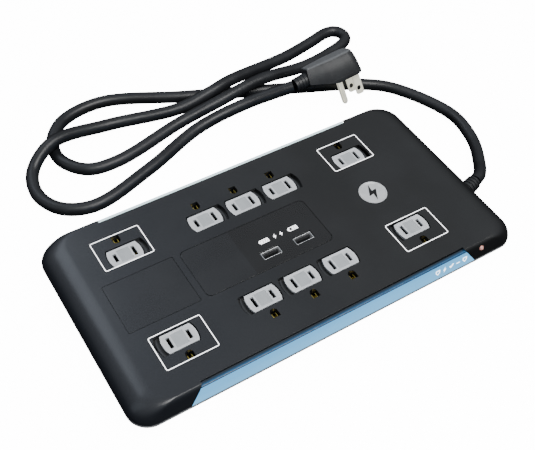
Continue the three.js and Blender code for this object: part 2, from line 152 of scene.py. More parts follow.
def smooth(piece, angle=35, weighted=True):
    only(piece)
    bpy.ops.object.shade_smooth_by_angle(angle=math.radians(angle))
    if weighted:
        modify(piece, "WEIGHTED_NORMAL", keep_sharp=True)
    return piece


def clean(piece):
    pick(piece, "FACE", lambda centre, normal: True)
    bpy.ops.mesh.select_all(action="SELECT")
    bpy.ops.mesh.remove_doubles(threshold=0.00001)
    bpy.ops.mesh.normals_make_consistent(inside=False)
    done()
    return piece


def together(pieces):
    only(pieces[0])
    for piece in pieces:
        piece.select_set(True)
    bpy.ops.object.join()
    return pieces[0]


def copied(piece, name, matrix):        # a copy with its own mesh, put where the matrix says
    twin = piece.copy()
    twin.data = piece.data.copy()
    twin.name = name
    bpy.context.scene.collection.objects.link(twin)
    twin.matrix_world = matrix
    return settle(twin)


def placed(piece, matrix):        # moves a piece whose place is already in its mesh
    piece.matrix_world = matrix
    return settle(piece)


def at(x, y, z=0, turn=0):
    return Matrix.Translation((x * mm, y * mm, z * mm)) @ Matrix.Rotation(math.radians(turn), 4, "Z")


def flatShape(name, outlines, low, thick):        # a flat drawing made a thin solid
    drawing = bpy.data.curves.new(name, "CURVE")
    drawing.dimensions = "2D"
    drawing.fill_mode = "BOTH"
    drawing.extrude = thick / 2 * mm
    for outline in outlines:
        line = drawing.splines.new("POLY")
        line.points.add(len(outline) - 1)
        for point, (x, y) in zip(line.points, outline):
            point.co = (x * mm, y * mm, 0, 1)
        line.use_cyclic_u = True
    piece = bpy.data.objects.new(name, drawing)
    bpy.context.scene.collection.objects.link(piece)
    piece.location.z = (low + thick / 2) * mm
    only(piece)
    bpy.ops.object.convert(target="MESH")
    return clean(named(name))


def hand(piece, paint, body, slot, *nodes):        # what every finished piece gets
    piece.data.materials.clear()
    piece.data.materials.append(paint)
    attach(piece, body)
    if nodes:
        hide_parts(*nodes)
    return piece


# shader helpers
class Signal:        # one output of a node, which arithmetic turns into Math nodes
    def __init__(self, paint, socket):
        self.paint = paint
        self.socket = socket

    def maths(self, operation, *values):
        return self.paint.node("ShaderNodeMath", {"operation": operation}, dict(enumerate(values)))

    def __add__(self, other):
        return self.maths("ADD", self, other)

    def __sub__(self, other):
        return self.maths("SUBTRACT", self, other)

    def __rsub__(self, other):
        return self.maths("SUBTRACT", other, self)

    def __mul__(self, other):
        return self.maths("MULTIPLY", self, other)

    def __truediv__(self, other):
        return self.maths("DIVIDE", self, other)

    def __pow__(self, other):
        return self.maths("POWER", self, other)

    __radd__ = __add__
    __rmul__ = __mul__


class Paint:        # one material, its Principled shader and the nodes that feed it
    def __init__(self, name, **constants):
        self.material = bpy.data.materials.new(name)
        self.material.use_nodes = True
        self.tree = self.material.node_tree
        self.shader = self.tree.nodes["Principled BSDF"]
        for key, value in constants.items():
            self.shader.inputs[key.replace("_", " ")].default_value = value

    def node(self, kind, settings, sockets, out=0):
        made = self.tree.nodes.new(kind)
        for key, value in settings.items():
            if key == "stops":
                ramp = made.color_ramp
                for _ in value[2:]:
                    ramp.elements.new(0.5)
                for element, (place, shade) in zip(ramp.elements, value):
                    element.position = place
                    element.color = shade
            else:
                setattr(made, key, value)
        for key, value in sockets.items():
            if isinstance(value, Signal):
                self.tree.links.new(value.socket, made.inputs[key])
            else:
                made.inputs[key].default_value = value
        return Signal(self, made.outputs[out])

    def coords(self, stretch=(1, 1, 1), turn=0):
        raw = self.node("ShaderNodeTexCoord", {}, {}, "Object")
        return self.node("ShaderNodeMapping", {}, {"Vector": raw, "Scale": stretch, "Rotation": (0, 0, turn)})

    def axes(self):        # x, y and z in millimetres
        raw = self.node("ShaderNodeTexCoord", {}, {}, "Object")
        split = self.node("ShaderNodeSeparateXYZ", {}, {"Vector": raw}).socket.node
        return [Signal(self, out) / mm for out in split.outputs]

    def noise(self, size, detail=2.0, stretch=(1, 1, 1), rough=0.5):        # size in millimetres
        sockets = {"Vector": self.coords(stretch), "Scale": 1 / (size * mm),
                   "Detail": detail, "Roughness": rough}
        return self.node("ShaderNodeTexNoise", {}, sockets)

    def ramp(self, value, low, high, smooth=True):
        kind = "SMOOTHSTEP" if smooth else "LINEAR"
        return self.node("ShaderNodeMapRange", {"interpolation_type": kind},
                         {"Value": value, "From Min": low, "From Max": high})

    def blend(self, share, first, second):
        return self.node("ShaderNodeMix", {"data_type": "RGBA"}, {0: share, 6: first, 7: second}, 2)

    def feed(self, key, value):
        self.tree.links.new(value.socket, self.shader.inputs[key])

    def relief(self, height, depth, strength=1.0):        # depth in millimetres
        self.feed("Normal", self.node("ShaderNodeBump", {}, {"Height": height, "Distance": depth * mm,
                                                             "Strength": strength}))


def shade(red, green, blue):        # the usual 0 to 255 values as scene linear light
    parts = (red, green, blue)
    return tuple(((c / 255 + 0.055) / 1.055) ** 2.4 if c > 10 else c / 255 / 12.92 for c in parts) + (1,)


def moulded(name, tone, second, gloss, grain=0.35, depth=0.012, spread=0.12, patch=14, **constants):
    paint = Paint(name, **constants)
    cloudy = paint.ramp(paint.noise(patch, 3.0), 0.35, 0.68)
    fine = paint.noise(grain, 2.0)
    paint.feed("Base Color", paint.blend(cloudy * 0.7 + fine * 0.3, shade(*tone), shade(*second)))
    rubbed = paint.noise(patch * 0.45, 4.0)
    paint.feed("Roughness", gloss + (rubbed - 0.5) * spread + (fine - 0.5) * spread * 0.5)
    paint.relief(fine, depth)
    return paint.material


def metalled(name, tone, second, gloss, stretch=(1, 1, 1), spread=0.16, depth=0.006, **constants):
    paint = Paint(name, **{"Metallic": 1.0, **constants})
    drawn = paint.noise(0.6, 3.0, stretch)
    dull = paint.ramp(paint.noise(5, 3.0), 0.4, 0.72)
    paint.feed("Base Color", paint.blend(dull * 0.8, shade(*tone), shade(*second)))
    paint.feed("Roughness", gloss + (drawn - 0.5) * spread + dull * 0.1)
    paint.relief(drawn, depth)
    return paint.material


# camera
view = {"at": (-211.45, -279.40, 456.35), "aim": (2.2177, 21.1012, 20), "roll": 4.4823, "lens": 57.566}


def makeCamera():
    lens = bpy.data.cameras.new("camera")
    lens.lens = view["lens"]
    lens.sensor_width = 36
    lens.clip_start = 0.01
    camera = bpy.data.objects.new("camera", lens)
    bpy.context.scene.collection.objects.link(camera)
    eye = Vector(view["at"]) * mm
    look = Vector(view["aim"]) * mm - eye
    turned = look.to_track_quat("-Z", "Y").to_matrix() @ Matrix.Rotation(math.radians(view["roll"]), 3, "Z")
    camera.matrix_world = Matrix.Translation(eye) @ turned.to_4x4()
    bpy.context.scene.camera = camera


makeCamera()
print("camera placed")


# cord
cord = {
    "diameter": 9.4,
    "route": [
        [158.4, -12.4, 12.5], [166.2, -8.8, 11.7], [178.9, 4.7, 7.6], [192.1, 27, 5.2], [196.5, 56.9, 4.9],
        [175.6, 102.6, 4.9], [155.4, 119.8, 4.9], [108.6, 140.8, 4.9], [22.8, 175.7, 4.9], [-37.7, 200.9, 4.9],
        [-71.7, 194.8, 4.9], [-86.8, 177.1, 4.9], [-88.5, 157.5, 4.9], [-75.8, 140.2, 4.9], [-53.2, 136.9, 5.1],
        [4.4, 149.3, 6.8], [35, 149.4, 12.8], [79.2, 154.6, 14.9], [121.4, 158.6, 7.8], [149, 164.4, 5],
        [172.7, 171.2, 4.9], [177.9, 176, 4.9], [178.2, 183.2, 4.9], [173.6, 188.2, 4.9], [166.5, 189.2, 4.9],
        [147, 184.6, 4.9], [118.4, 178.2, 5.6], [57, 165.2, 14.8], [38, 161.2, 14.4], [10.3, 161, 9.4],
        [-44.5, 172.4, 7.6], [-89.6, 167.5, 14.9], [-110.5, 155.2, 7], [-115.8, 133.9, 4.9], [-106.8, 114.6, 4.9],
        [-85.7, 105.8, 4.9], [-36.5, 119, 4.9], [15.9, 138.6, 5.8], [55.3, 138.4, 12.2], [91.6, 127.4, 23.2],
    ],
    "stepsBetween": 14,
}


def smoothRoute(points, steps):        # centripetal Catmull-Rom through every point
    points = [Vector(p) for p in points]
    ends = [2 * points[0] - points[1]] + points + [2 * points[-1] - points[-2]]
    line = []
    for a, b, c, d in zip(ends, ends[1:], ends[2:], ends[3:]):
        first, second, third = [(q - p).length ** 0.5 for p, q in ((a, b), (b, c), (c, d))]
        leave = ((b - a) / first - (c - a) / (first + second) + (c - b) / second) * second
        arrive = ((c - b) / second - (d - b) / (second + third) + (d - c) / third) * second
        for i in range(steps):
            t = i / steps
            line.append(b + leave * t + (3 * (c - b) - 2 * leave - arrive) * t * t
                        + (2 * (b - c) + leave + arrive) * t ** 3)
    return line + [points[-1]]


def cordPaint():
    paint = Paint("cord_jacket", Specular_IOR_Level=0.45)
    cloudy = paint.ramp(paint.noise(22, 3.0), 0.35, 0.7)
    fine = paint.noise(0.5, 3.0)
    paint.feed("Base Color", paint.blend(cloudy * 0.6 + fine * 0.4, shade(24, 25, 28), shade(38, 40, 43)))
    paint.feed("Roughness", 0.36 + cloudy * 0.1 + (fine - 0.5) * 0.16)
    paint.relief(fine + paint.noise(3.2, 2.0) * 1.4, 0.05)
    return paint.material


def makeCord():
    line = smoothRoute(cord["route"], cord["stepsBetween"])
    run = bpy.data.curves.new("power_cord", "CURVE")
    run.dimensions = "3D"
    run.bevel_depth = cord["diameter"] / 2 * mm
    run.bevel_resolution = 6
    run.use_fill_caps = True
    spline = run.splines.new("POLY")
    spline.points.add(len(line) - 1)
    for point, place in zip(spline.points, line):
        point.co = (*(place * mm), 1)
    piece = bpy.data.objects.new("power_cord", run)
    bpy.context.scene.collection.objects.link(piece)
    only(piece)
    bpy.ops.object.convert(target="MESH")
    clean(bpy.context.object)
    smooth(piece, 60, weighted=False)
    hand(piece, cordPaint(), "housing", "cord_jacket", "cord")
    length = sum((b - a).length for a, b in zip(line, line[1:])) * mm
    return piece, [list(p * mm) for p in line], length


cordPiece, cordLine, cordLength = makeCord()
print("cord", round(cordLength, 4), "m")


# strain relief
relief = {"at": (136.2, -19.3, 12.5), "yaw": 17, "ribs": 5, "ribWide": 1.7, "ribGap": 1.3}


def makeRelief():
    piece = rod("strain_relief_boot", (0, 0, -12), 7, 2)
    pick(piece, "FACE", facingUp)
    rows = [(-10, 7, 7), (-9.9, 5.9, 5.9), (3, 5.9, 5.9), (3.1, 6.8, 6.8), (5, 6.8, 6.8), (5.8, 6.3, 6.3)]
    along, radius = 6.6, 6.3
    for rib in range(relief["ribs"]):
        slim = radius - 0.9
        rows += [(along, radius, radius), (along + 0.15, slim, slim), (along + relief["ribGap"], slim, slim)]
        radius -= 0.16
        rows.append((along + relief["ribGap"] + 0.15, radius, radius))
        along += relief["ribGap"] + relief["ribWide"]
    rows += [(21.4, radius, radius), (22, radius - 0.5, radius - 0.5)]
    climb(rows)
    done()
    soften(piece, 0.22, 2, 35)
    turn = Matrix.Rotation(math.radians(relief["yaw"]), 4, "Z") @ Matrix.Rotation(math.radians(90), 4, "Y")
    placed(piece, at(*relief["at"]) @ turn)
    smooth(piece, 35)
    paint = moulded("relief_vinyl", (26, 27, 29), (38, 40, 42), 0.5, grain=0.5, depth=0.02)
    return hand(piece, paint, "housing", "cord_jacket", "strain_relief")


reliefPiece = makeRelief()
print("strain relief modelled")


# plug
plug = {
    "at": (129.8, 121, 20.4), "turn": (-32, -8.5, -1.6), "cordEnd": -27, "farEnd": 18.3, "half": 12.6,
    "farRound": 7, "thick": 19.2, "bladeX": 11.9, "bladeY": 6.35, "bladeHalf": 3.15, "bladeThick": 1.5,
    "bladeLong": 17, "holeAt": 12.1, "holeRadius": 1.95, "pinRadius": 2.4,
}
plugPlace = at(*plug["at"]) @ Euler([math.radians(a) for a in plug["turn"]], "XYZ").to_matrix().to_4x4()


def plugOutline(half, halfCord, inset):
    far = plug["farEnd"] - inset
    near = plug["cordEnd"] + inset * 0.4
    bend = min(plug["farRound"], half - 0.5)
    corner = [(far - bend + bend * math.cos(t), half - bend + bend * math.sin(t))
              for t in [math.radians(90 * i / 9) for i in range(10)]]
    flank = [(-6, half), (-12, half - 1), (-19, halfCord + 1.6), (near, halfCord)]
    upper = corner + flank
    return upper + [(x, -y) for x, y in reversed(upper)]


def makePlugBody():
    piece = flatShape("plug_grip", [plugOutline(12.3, 7.9, 0.3)], 0, 0.6)
    pick(piece, "FACE", facingUp)
    middle = (plug["farEnd"] + plug["cordEnd"]) / 2
    length = (plug["farEnd"] - plug["cordEnd"]) / 2
    rows = [(0.6, length - 0.3, 12.3), (1, length, 12.6), (2.8, length, 12.6), (3.1, length - 0.4, 12.15),
            (6, length - 0.5, 12), (10, length - 0.9, 11.4), (13.5, length - 1.4, 10.3), (16.5, length - 2.1, 8.9),
            (18.2, length - 2.7, 7.8), (18.9, length - 3.2, 7.2), (19.2, length - 4, 6.4)]
    climb(rows, (middle, 0))
    done()
    root = block("root", (plug["bladeX"] - 3.4, -7.2, -2), (plug["bladeX"] + 3.4, -5.5, 0.6))
    other = block("root", (plug["bladeX"] - 3.4, 5.5, -2), (plug["bladeX"] + 3.4, 7.2, 0.6))
    carve(piece, together([root, other, rod("root", (0, 0, -2), 2.7, 2.6)]))
    under = block("under", (-40, -20, -14), (0, 20, 0))        # the underside rises towards the cord
    carve(piece, placed(under, at(-5, 0) @ Matrix.Rotation(math.radians(18), 4, "Y")))
    soften(piece, 0.35, 2, 38)
    placed(piece, plugPlace)
    smooth(piece, 40)
    return hand(piece, plugPaint(), "housing", "plug_vinyl", "plug_body")


def plugPaint():
    paint = Paint("plug_vinyl", Specular_IOR_Level=0.35)
    raw = paint.node("ShaderNodeTexCoord", {}, {}, "Object")
    up = plugPlace.to_3x3() @ Vector((0, 0, 1))
    height = paint.node("ShaderNodeVectorMath", {"operation": "DOT_PRODUCT"}, {0: raw, 1: up}, 1) / mm
    foot = up.dot(plugPlace.translation) / mm
    # the back face is rougher, and painted pale grey: a painted sheen of the light from above
    litBack = paint.ramp(height - foot, 17.6, 18.7)
    cloudy = paint.ramp(paint.noise(9, 3.0), 0.35, 0.7)
    fine = paint.noise(0.35, 2.0)
    flank = paint.blend(cloudy * 0.6 + fine * 0.4, shade(36, 37, 40), shade(50, 52, 54))
    paint.feed("Base Color", paint.blend(litBack, flank, shade(104, 106, 108)))
    paint.feed("Roughness", 0.44 + litBack * 0.14 + (fine - 0.5) * 0.14)
    paint.relief(fine, 0.03)
    return paint.material


def makePlugTail():
    tail = rod("plug_tail", (0, 0, -2), 5.95, 2, 40)
    pick(tail, "FACE", facingUp)
    rows = [(0, 5.95, 5.95)]
    along, radius = 1.2, 5.95
    for rib in range(3):
        rows += [(along, radius, radius), (along + 0.15, radius - 0.5, radius - 0.5),
                 (along + 0.9, radius - 0.5, radius - 0.5), (along + 1.05, radius - 0.1, radius - 0.1)]
        along += 2.5
        radius -= 0.2
    rows += [(9, radius, radius)]
    climb(rows)
    done()
    soften(tail, 0.15, 2, 35)
    turn = Matrix.Translation((plug["cordEnd"] * mm, 0, 10 * mm)) @ Matrix.Rotation(math.radians(-90), 4, "Y")
    placed(tail, plugPlace @ turn)
    smooth(tail, 35)
    paint = moulded("tail_vinyl", (26, 27, 30), (38, 40, 42), 0.46, grain=0.4, depth=0.02)
    return hand(tail, paint, "housing", "plug_vinyl")


def makeBlade(name, side):
    x, half, y = plug["bladeX"], plug["bladeHalf"], side * plug["bladeY"]
    piece = block(name, (x - half, y - plug["bladeThick"] / 2, -plug["bladeLong"]),
                  (x + half, y + plug["bladeThick"] / 2, 4.2))
    tips = lambda a, b: a.z < -10 and b.z < -10 and abs(a.x - b.x) < 0.01
    pick(piece, "EDGE", tips)
    bpy.ops.mesh.bevel(offset=1.6 * mm, segments=4, affect="EDGES")
    done()
    hole = rod("hole", (0, 0, -3), plug["holeRadius"], 6, 28)
    placed(hole, at(x, y, -plug["holeAt"]) @ Matrix.Rotation(math.radians(90), 4, "X"))
    carve(piece, hole)
    soften(piece, 0.22, 2, 40)
    placed(piece, plugPlace)
    smooth(piece, 35)
    return hand(piece, nickelGlow, "housing", "blade_metal", name.replace("_plate", "_blade"))


def makePin():
    piece = rod("ground_post", (0, 0, -18.4), plug["pinRadius"], 22.6, 32)
    pick(piece, "FACE", facingDown)
    climb([(-18.4, 2.4, 2.4), (-19.4, 2.3, 2.3), (-20.2, 2, 2), (-20.9, 1.5, 1.5), (-21.4, 0.8, 0.8)])
    done()
    fold = block("fold", (-0.28, -3, -22), (0.28, -1.5, -0.5))        # the seam of the rolled pin
    carve(piece, placed(fold, Matrix.Rotation(math.radians(-35), 4, "Z")))
    soften(piece, 0.12, 2, 40)
    placed(piece, plugPlace)
    smooth(piece, 40)
    return hand(piece, nickelGlow, "housing", "blade_metal", "ground_pin")


# the plating is given a glow: painted light, as the blades are no lamp
nickelGlow = metalled("nickel_plate", (240, 238, 222), (186, 182, 164), 0.3, (1, 1, 0.2), Metallic=0.55,
                  Emission_Color=shade(240, 238, 220), Emission_Strength=0.7)
plugPieces = [makePlugBody(), makePlugTail(), makeBlade("hot_plate", 1),
              makeBlade("neutral_plate", -1), makePin()]
print("plug modelled")


# outlets, as tools that cut the cover
rowName = {1: "rear", -1: "front"}
outlets = []
for side in (1, -1):
    for column in range(1, 6):
        low, high = box(f"shutter_{rowName[side]}_{column}")
        outlets.append({"side": side, "column": column, "x": (low.x + high.x) / 2, "y": (low.y + high.y) / 2})
coverBox = box("top_cover")
topZ = coverBox[1].z
rimZ = box("base_housing")[1].z
shutter = {"straight": 19.4, "length": 22.2, "width": 13.2, "low": 31.7, "top": 33.5, "slotX": 6.35,
           "endRadius": 16.26, "clearance": 0.75, "recess": 3.5, "groundY": 12.9, "groundHalf": 2.6}


def lozenge(name, left, right, grow, z, steps=9):        # a bar whose ends are shallow arcs
    half = shutter["width"] / 2 + grow
    reach = shutter["length"] / 2 + grow
    radius = shutter["endRadius"] + grow
    widest = math.asin(half / radius)
    turns = [widest * (2 * i / steps - 1) for i in range(steps + 1)]
    outer = [(reach + right - radius + radius * math.cos(t), radius * math.sin(t)) for t in turns]
    inner = [(radius - reach - left - radius * math.cos(t), -radius * math.sin(t)) for t in turns]
    return flatShape(name, [outer + inner], z[0], z[1] - z[0])


def groundTool(z):        # round towards the slots, straight on its outer edge
    half, y = shutter["groundHalf"], shutter["groundY"]
    piece = rod("ground", (0, y - 0.6, z[0]), half, z[1] - z[0], 32)
    return carve(piece, block("flat", (-half, y - 0.6, z[0]), (half, y + 3.1, z[1])), "UNION")


def everyOutlet(model, name):
    made = []
    for outlet in outlets:
        turn = 0 if outlet["side"] > 0 else 180
        title = f"{name}_{rowName[outlet['side']]}_{outlet['column']}"
        made.append(copied(model, title, at(outlet["x"], outlet["y"], 0, turn)))
    bpy.data.objects.remove(model)
    return made


def outletTools():
    window = lozenge("window", 0, shutter["recess"], shutter["clearance"], (topZ - 6, topZ + 4))
    return together(everyOutlet(together([window, groundTool((topZ - 6, topZ + 4))]), "tool"))


# top cover
cover = {"endRoll": 17, "sideLean": 2.8, "sideEdge": 1.5, "corner": 14, "wall": 2.5, "rollSteps": 16,
         "gap": 0.3, "edgeRound": 0.28, "notchY": 66.3}
coverHigh = topZ - rimZ
panels = {name: box(name) for name in ("left_panel", "centre_panel")}
panelRound = {"left_panel": 1, "centre_panel": 4}
rail = {"middleX": -1.5, "bottom": 22.3, "top": 32.6, "halfBottom": 104.5, "halfTop": 96.9, "inner": 66.7}


def sideInset(share):        # how far a side leans in at this share of the cover's height
    return cover["sideLean"] * share + cover["sideEdge"] * share ** 12


def panelBlock(name, panel, grow, z):
    low, high = panels[panel]
    piece = block(name, (low.x - grow, low.y - grow, z[0]), (high.x + grow, high.y + grow, z[1]))
    pick(piece, "EDGE", upright)
    bpy.ops.mesh.bevel(offset=panelRound[panel] * mm, segments=6, affect="EDGES")
    done()
    return piece


def usbTool(node, grow, z):
    low, high = box(node)
    return block("port", (low.x - grow, low.y - grow, z[0]), (high.x + grow, high.y + grow, z[1]))


def railBlock(name, side, grow, y, z):        # ends slope in towards the top
    slope = (rail["halfBottom"] - rail["halfTop"]) / (rail["top"] - rail["bottom"])
    wide, narrow = [rail["halfTop"] + slope * (rail["top"] - height) + grow for height in z]
    ys = sorted((side * y[0], side * y[1]))
    piece = block(name, (rail["middleX"] - wide, ys[0], z[0]), (rail["middleX"] + wide, ys[1], z[1]))
    pick(piece, "FACE", facingUp)
    bpy.ops.transform.resize(value=(narrow / wide, 1, 1),
                             center_override=(rail["middleX"] * mm, 0, z[1] * mm))
    done()
    return piece


def lensTool(grow, length):
    low, high = box("indicator_lens")
    middle = (low + high) / 2
    tool = rod("lens", (0, 0, -length / 2), 1.6 + grow, length, 24)
    return placed(tool, at(*middle) @ Matrix.Rotation(math.radians(45), 4, "X"))


def coverPaint():
    paint = Paint("cover_satin", Coat_Roughness=0.22, Specular_IOR_Level=0.5)
    x, y, z = paint.axes()
    fine = paint.noise(0.22, 2.0)
    cloudy = paint.ramp(paint.noise(40, 3.0), 0.35, 0.7)
    tone = paint.blend(cloudy * 0.6 + fine * 0.4, shade(24, 25, 26), shade(31, 32, 33))
    leftSheen = paint.ramp(x * -1, -60, 130)        # the left end is painted a little cooler and paler, a painted sheen of the light
    paint.feed("Base Color", paint.blend(leftSheen * 0.5, tone, shade(42, 46, 54)))
    paint.feed("Roughness", 0.3 + (paint.noise(30, 2.0) - 0.5) * 0.06 + (fine - 0.5) * 0.06)
    paint.feed("Coat Weight", 0.25 + cloudy * 0.1)
    paint.relief(fine, 0.006)
    return paint.material


def coverRow(height, wall=0):        # the cover's half sizes at a height, or its inner wall's
    share = min((height + wall - rimZ) / coverHigh, 1)
    roll = cover["endRoll"] * (1 - math.sqrt(1 - share * share))
    return height, coverBox[1].x - roll - wall, coverBox[1].y - sideInset(share) - wall


def makeCover():
    low = rimZ + cover["gap"]
    half = coverRow(low)
    piece = block("cover_shell", (-half[1], -half[2], low), (half[1], half[2], low + 0.2))
    pick(piece, "EDGE", upright)
    bpy.ops.mesh.bevel(offset=cover["corner"] * mm, segments=12, affect="EDGES")
    done()
    pick(piece, "FACE", facingUp)
    steps = range(cover["rollSteps"])
    turns = [math.radians(86 * (1 - i / (cover["rollSteps"] - 1))) for i in steps]
    climb([(low + 0.2, half[1], half[2])] + [coverRow(rimZ + coverHigh * math.cos(turn)) for turn in turns])
    done()
    pick(piece, "FACE", facingDown)
    bpy.ops.mesh.inset(thickness=cover["wall"] * mm, depth=0)
    wall = cover["wall"]
    inner = [coverRow(z, wall) for z in (25, 27.5, 29.5, 31, topZ - wall)]
    climb([(low, half[1] - wall, half[2] - wall)] + inner)
    done()
    tools = [outletTools(), lensTool(0.3, 14)]
    tools += [panelBlock("pocket", name, 0.3, (topZ - 1.2, topZ + 4)) for name in panels]
    tools += [usbTool(f"usb_shell_{i}", 0.35, (topZ - 8, topZ - 1)) for i in (1, 2)]
    badgeLow, badgeHigh = box("badge")
    tools.append(rod("pocket", ((badgeLow.x + badgeHigh.x) / 2, (badgeLow.y + badgeHigh.y) / 2, topZ - 1.2),
                     (badgeHigh.x - badgeLow.x) / 2 + 0.3, 5, 64))
    tools += [railBlock("notch", side, 0.3, (cover["notchY"], 90), (10, 50)) for side in (1, -1)]
    for tool in tools:
        carve(piece, tool)
    soften(piece, cover["edgeRound"], 2, 42)
    smooth(piece, 32)
    return hand(piece, coverPaint(), "housing", "cover_plastic", "top_cover")


coverPiece = makeCover()
print("top cover modelled,", len(coverPiece.data.polygons), "faces")


# base housing
base = {"corner": 14, "wall": 2.5, "lip": 1.7, "buttonHalf": 4.8, "reliefHole": 6.6, "footPocket": 6.5}


def basePaint():
    paint = Paint("base_gloss", Specular_IOR_Level=0.55, Coat_Weight=0.3, Coat_Roughness=0.06,
                  Emission_Strength=0.45)
    x, y, z = paint.axes()
    fine = paint.noise(0.3, 2.0)
    # a painted highlight: a pale band just under the rim's top edge, also given a faint glow
    litRim = paint.ramp(z, rimZ - 1.1, rimZ - 0.7) * (1 - paint.ramp(z, rimZ - 0.05, rimZ + 0.05))
    dark = paint.blend(paint.ramp(paint.noise(20, 3.0), 0.35, 0.7), shade(13, 14, 15), shade(22, 23, 25))
    paint.feed("Base Color", paint.blend(litRim, dark, shade(148, 150, 153)))
    paint.feed("Emission Color", paint.blend(litRim, shade(0, 0, 0), shade(140, 142, 145)))
    under = 1 - paint.ramp(z, 3, 7)
    paint.feed("Roughness", 0.16 + under * 0.34 + (fine - 0.5) * 0.1)
    paint.relief(fine * under, 0.03)
    return paint.material


def makeBase():
    low, high = box("base_housing")
    piece = block("base_tray", (low.x, low.y, rimZ - base["lip"]), (high.x, high.y, rimZ))
    pick(piece, "EDGE", upright)
    bpy.ops.mesh.bevel(offset=base["corner"] * mm, segments=10, affect="EDGES")
    done()
    pick(piece, "FACE", facingDown)
    climb([(rimZ - base["lip"], 140.5, 72.5), (20, 138.4, 69.6), (19, 137.2, 68.4), (15, 136.6, 67.2),
           (9, 135.3, 64.6), (5.2, 134.2, 61.9), (3.6, 133.6, 61.1), (2.5, 132.8, 60), (low.z, 132, 59)])
    done()
    pick(piece, "FACE", facingUp)
    wall = base["wall"]
    bpy.ops.mesh.inset(thickness=wall * mm, depth=0)
    climb([(rimZ, high.x - wall, high.y - wall), (19.5, 136.5 - wall, 68.6 - wall),
           (9, 134.9 - wall, 64.6 - wall),
           (low.z + wall, 132.5 - wall, 60 - wall)])
    done()
    tools = [relievedHole(), breakerTool()]
    for name in ("rear_right", "rear_left", "front_right", "front_left"):
        footLow, footHigh = box(f"foot_{name}")
        tools.append(rod("pocket", ((footLow.x + footHigh.x) / 2, (footLow.y + footHigh.y) / 2, -1),
                         base["footPocket"], footHigh.z + 1.2, 40))
    for i in range(1, 5):
        screwLow, screwHigh = box(f"cover_screw_{i}")
        middle = (screwLow + screwHigh) / 2
        tools.append(rod("bore", (middle.x, middle.y, -1), 3.6, 5.2, 32))
    for opening in (-92, 76):
        tools.append(keyholeTool(opening))
    tools.append(plateTool())
    for tool in tools:
        carve(piece, tool)
    soften(piece, 0.3, 2, 40)
    smooth(piece, 35)
    return hand(piece, basePaint(), "housing", "base_plastic", "base_housing")


def relievedHole():
    tool = rod("hole", (0, 0, -12), base["reliefHole"], 24, 40)
    turn = Matrix.Rotation(math.radians(relief["yaw"]), 4, "Z") @ Matrix.Rotation(math.radians(90), 4, "Y")
    return placed(tool, at(*relief["at"]) @ turn)


def breakerTool():
    low, high = box("breaker_button")
    y, z = (low.y + high.y) / 2, (low.z + high.z) / 2
    half = base["buttonHalf"]
    return block("window", (125, y - half, z - half), (150, y + half, z + half))


def keyholeTool(x):
    wide = rod("keyhole", (x, 0, -1), 4.6, 9, 32)
    neck = block("neck", (x, -2.2, -1), (x + 9, 2.2, 8))
    carve(wide, neck, "UNION")
    return carve(wide, rod("end", (x + 9, 0, -1), 2.2, 9, 32), "UNION")


def plateTool():        # a shallow blank recess where a rating plate goes
    piece = block("plate", (-34, -26, 1), (30, 26, 2.35))
    pick(piece, "EDGE", upright)
    bpy.ops.mesh.bevel(offset=3 * mm, segments=5, affect="EDGES")
    done()
    return piece


basePiece = makeBase()
print("base modelled,", len(basePiece.data.polygons), "faces")


# side rails
def railPaint(name, side):
    paint = Paint(name, Specular_IOR_Level=0.5, Coat_Weight=0.35, Coat_Roughness=0.05, Emission_Strength=1.25)
    x, y, z = paint.axes()
    out = y * side
    face = paint.ramp(out - (z - rail["bottom"]) * -0.262, 71.35, 71.75)        # the leaning outer face
    streak = paint.noise(5, 3.0, (0.12, 1, 1))
    # painted shading: the outer face is painted darker towards its top, with streaks
    share = paint.ramp(z, 22, 32) * 0.35 + streak * 0.5
    shadedFace = paint.blend(share, shade(112, 182, 226), shade(84, 158, 212))
    # the top face is painted with light and shade: dark on the front rail as painted shade, near white on the rear
    # rail as painted light passing through
    top = paint.ramp(out, rail["inner"], 69.6)
    if side < 0:
        lidLighting = paint.blend(top, shade(14, 22, 30), shade(22, 62, 92))
    else:
        lidLighting = paint.blend(top, shade(196, 222, 224), shade(228, 246, 246))
    # a painted shadow line along the top of the front rail's outer face
    line = paint.ramp(z, rail["top"] - 0.75, rail["top"] - 0.5) * face
    tone = paint.blend(face, lidLighting, shadedFace)
    if side < 0:
        tone = paint.blend(line, tone, shade(8, 44, 74))
    paint.feed("Base Color", tone)
    # the rail's colour is also its glow: painted light, as the rail is no lamp
    paint.feed("Emission Color", tone)
    paint.feed("Roughness", 0.14 + streak * 0.12)
    paint.relief(streak, 0.04)
    return paint.material


def makeRail(side):
    name = rowName[side]
    outer = coverBox[1].y - 0.15
    piece = railBlock(f"glow_rail_{name}", side, 0, (rail["inner"], outer), (rail["bottom"], rail["top"]))
    pick(piece, "EDGE", lambda a, b: min(a.z, b.z) > 30 and min(abs(a.y), abs(b.y)) > 70)
    lean = sideInset((rail["top"] - rimZ) / (topZ - rimZ))
    bpy.ops.transform.translate(value=(0, -side * (lean - 0.1) * mm, 0))
    done()
    pick(piece, "EDGE", lambda a, b: min(a.z, b.z) > 30 and min(abs(a.y), abs(b.y)) > 68)
    bpy.ops.mesh.bevel(offset=0.55 * mm, segments=4, affect="EDGES")
    done()
    soften(piece, 0.15, 2, 50)
    smooth(piece, 40)
    return hand(piece, railPaint(f"rail_{name}", side), "housing", "rail_plastic", f"side_rail_{name}")


for side in (1, -1):
    makeRail(side)
print("rails modelled")


